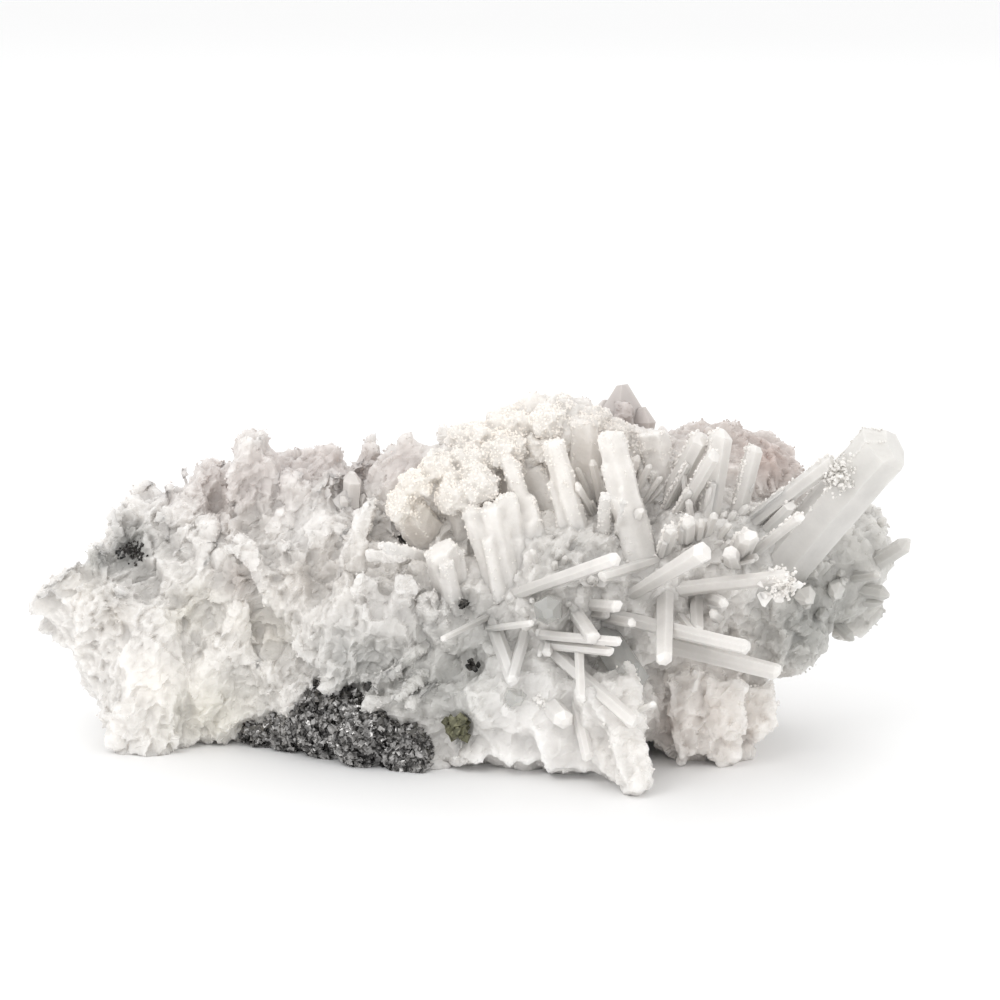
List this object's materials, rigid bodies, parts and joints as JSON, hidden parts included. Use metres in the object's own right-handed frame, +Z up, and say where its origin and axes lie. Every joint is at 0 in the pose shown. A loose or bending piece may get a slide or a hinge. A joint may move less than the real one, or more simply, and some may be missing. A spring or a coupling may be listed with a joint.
{
  "type": "quartz specimen",
  "caption": "Natural quartz specimen: a broken milky mass with sprays of slender prisms, a dark galena seam and small pyrite and sphalerite crystals, to stand on display.",
  "frame": {"origin": "on the flat cut that the specimen stands on, 5.8 mm left of the middle of the front view", "axes": "+X to the right along the specimen's length, +Y from the front to the back, +Z up"},
  "size_m": [0.1781, 0.0924, 0.072],
  "materials": {
    "quartz": "milky, translucent, satin",
    "galena": "granular, bright metallic",
    "pyrite": "dull metallic",
    "sphalerite": "resinous"
  },
  "bodies": {
    "root": {"quartz_cluster": "quartz", "galena_seam": "galena", "pyrite_crystal": "pyrite", "sphalerite_crystal_1": "sphalerite", "sphalerite_crystal_2": "sphalerite", "sphalerite_crystal_3": "sphalerite", "sphalerite_crystal_4": "sphalerite"}
  },
  "joints": []
}
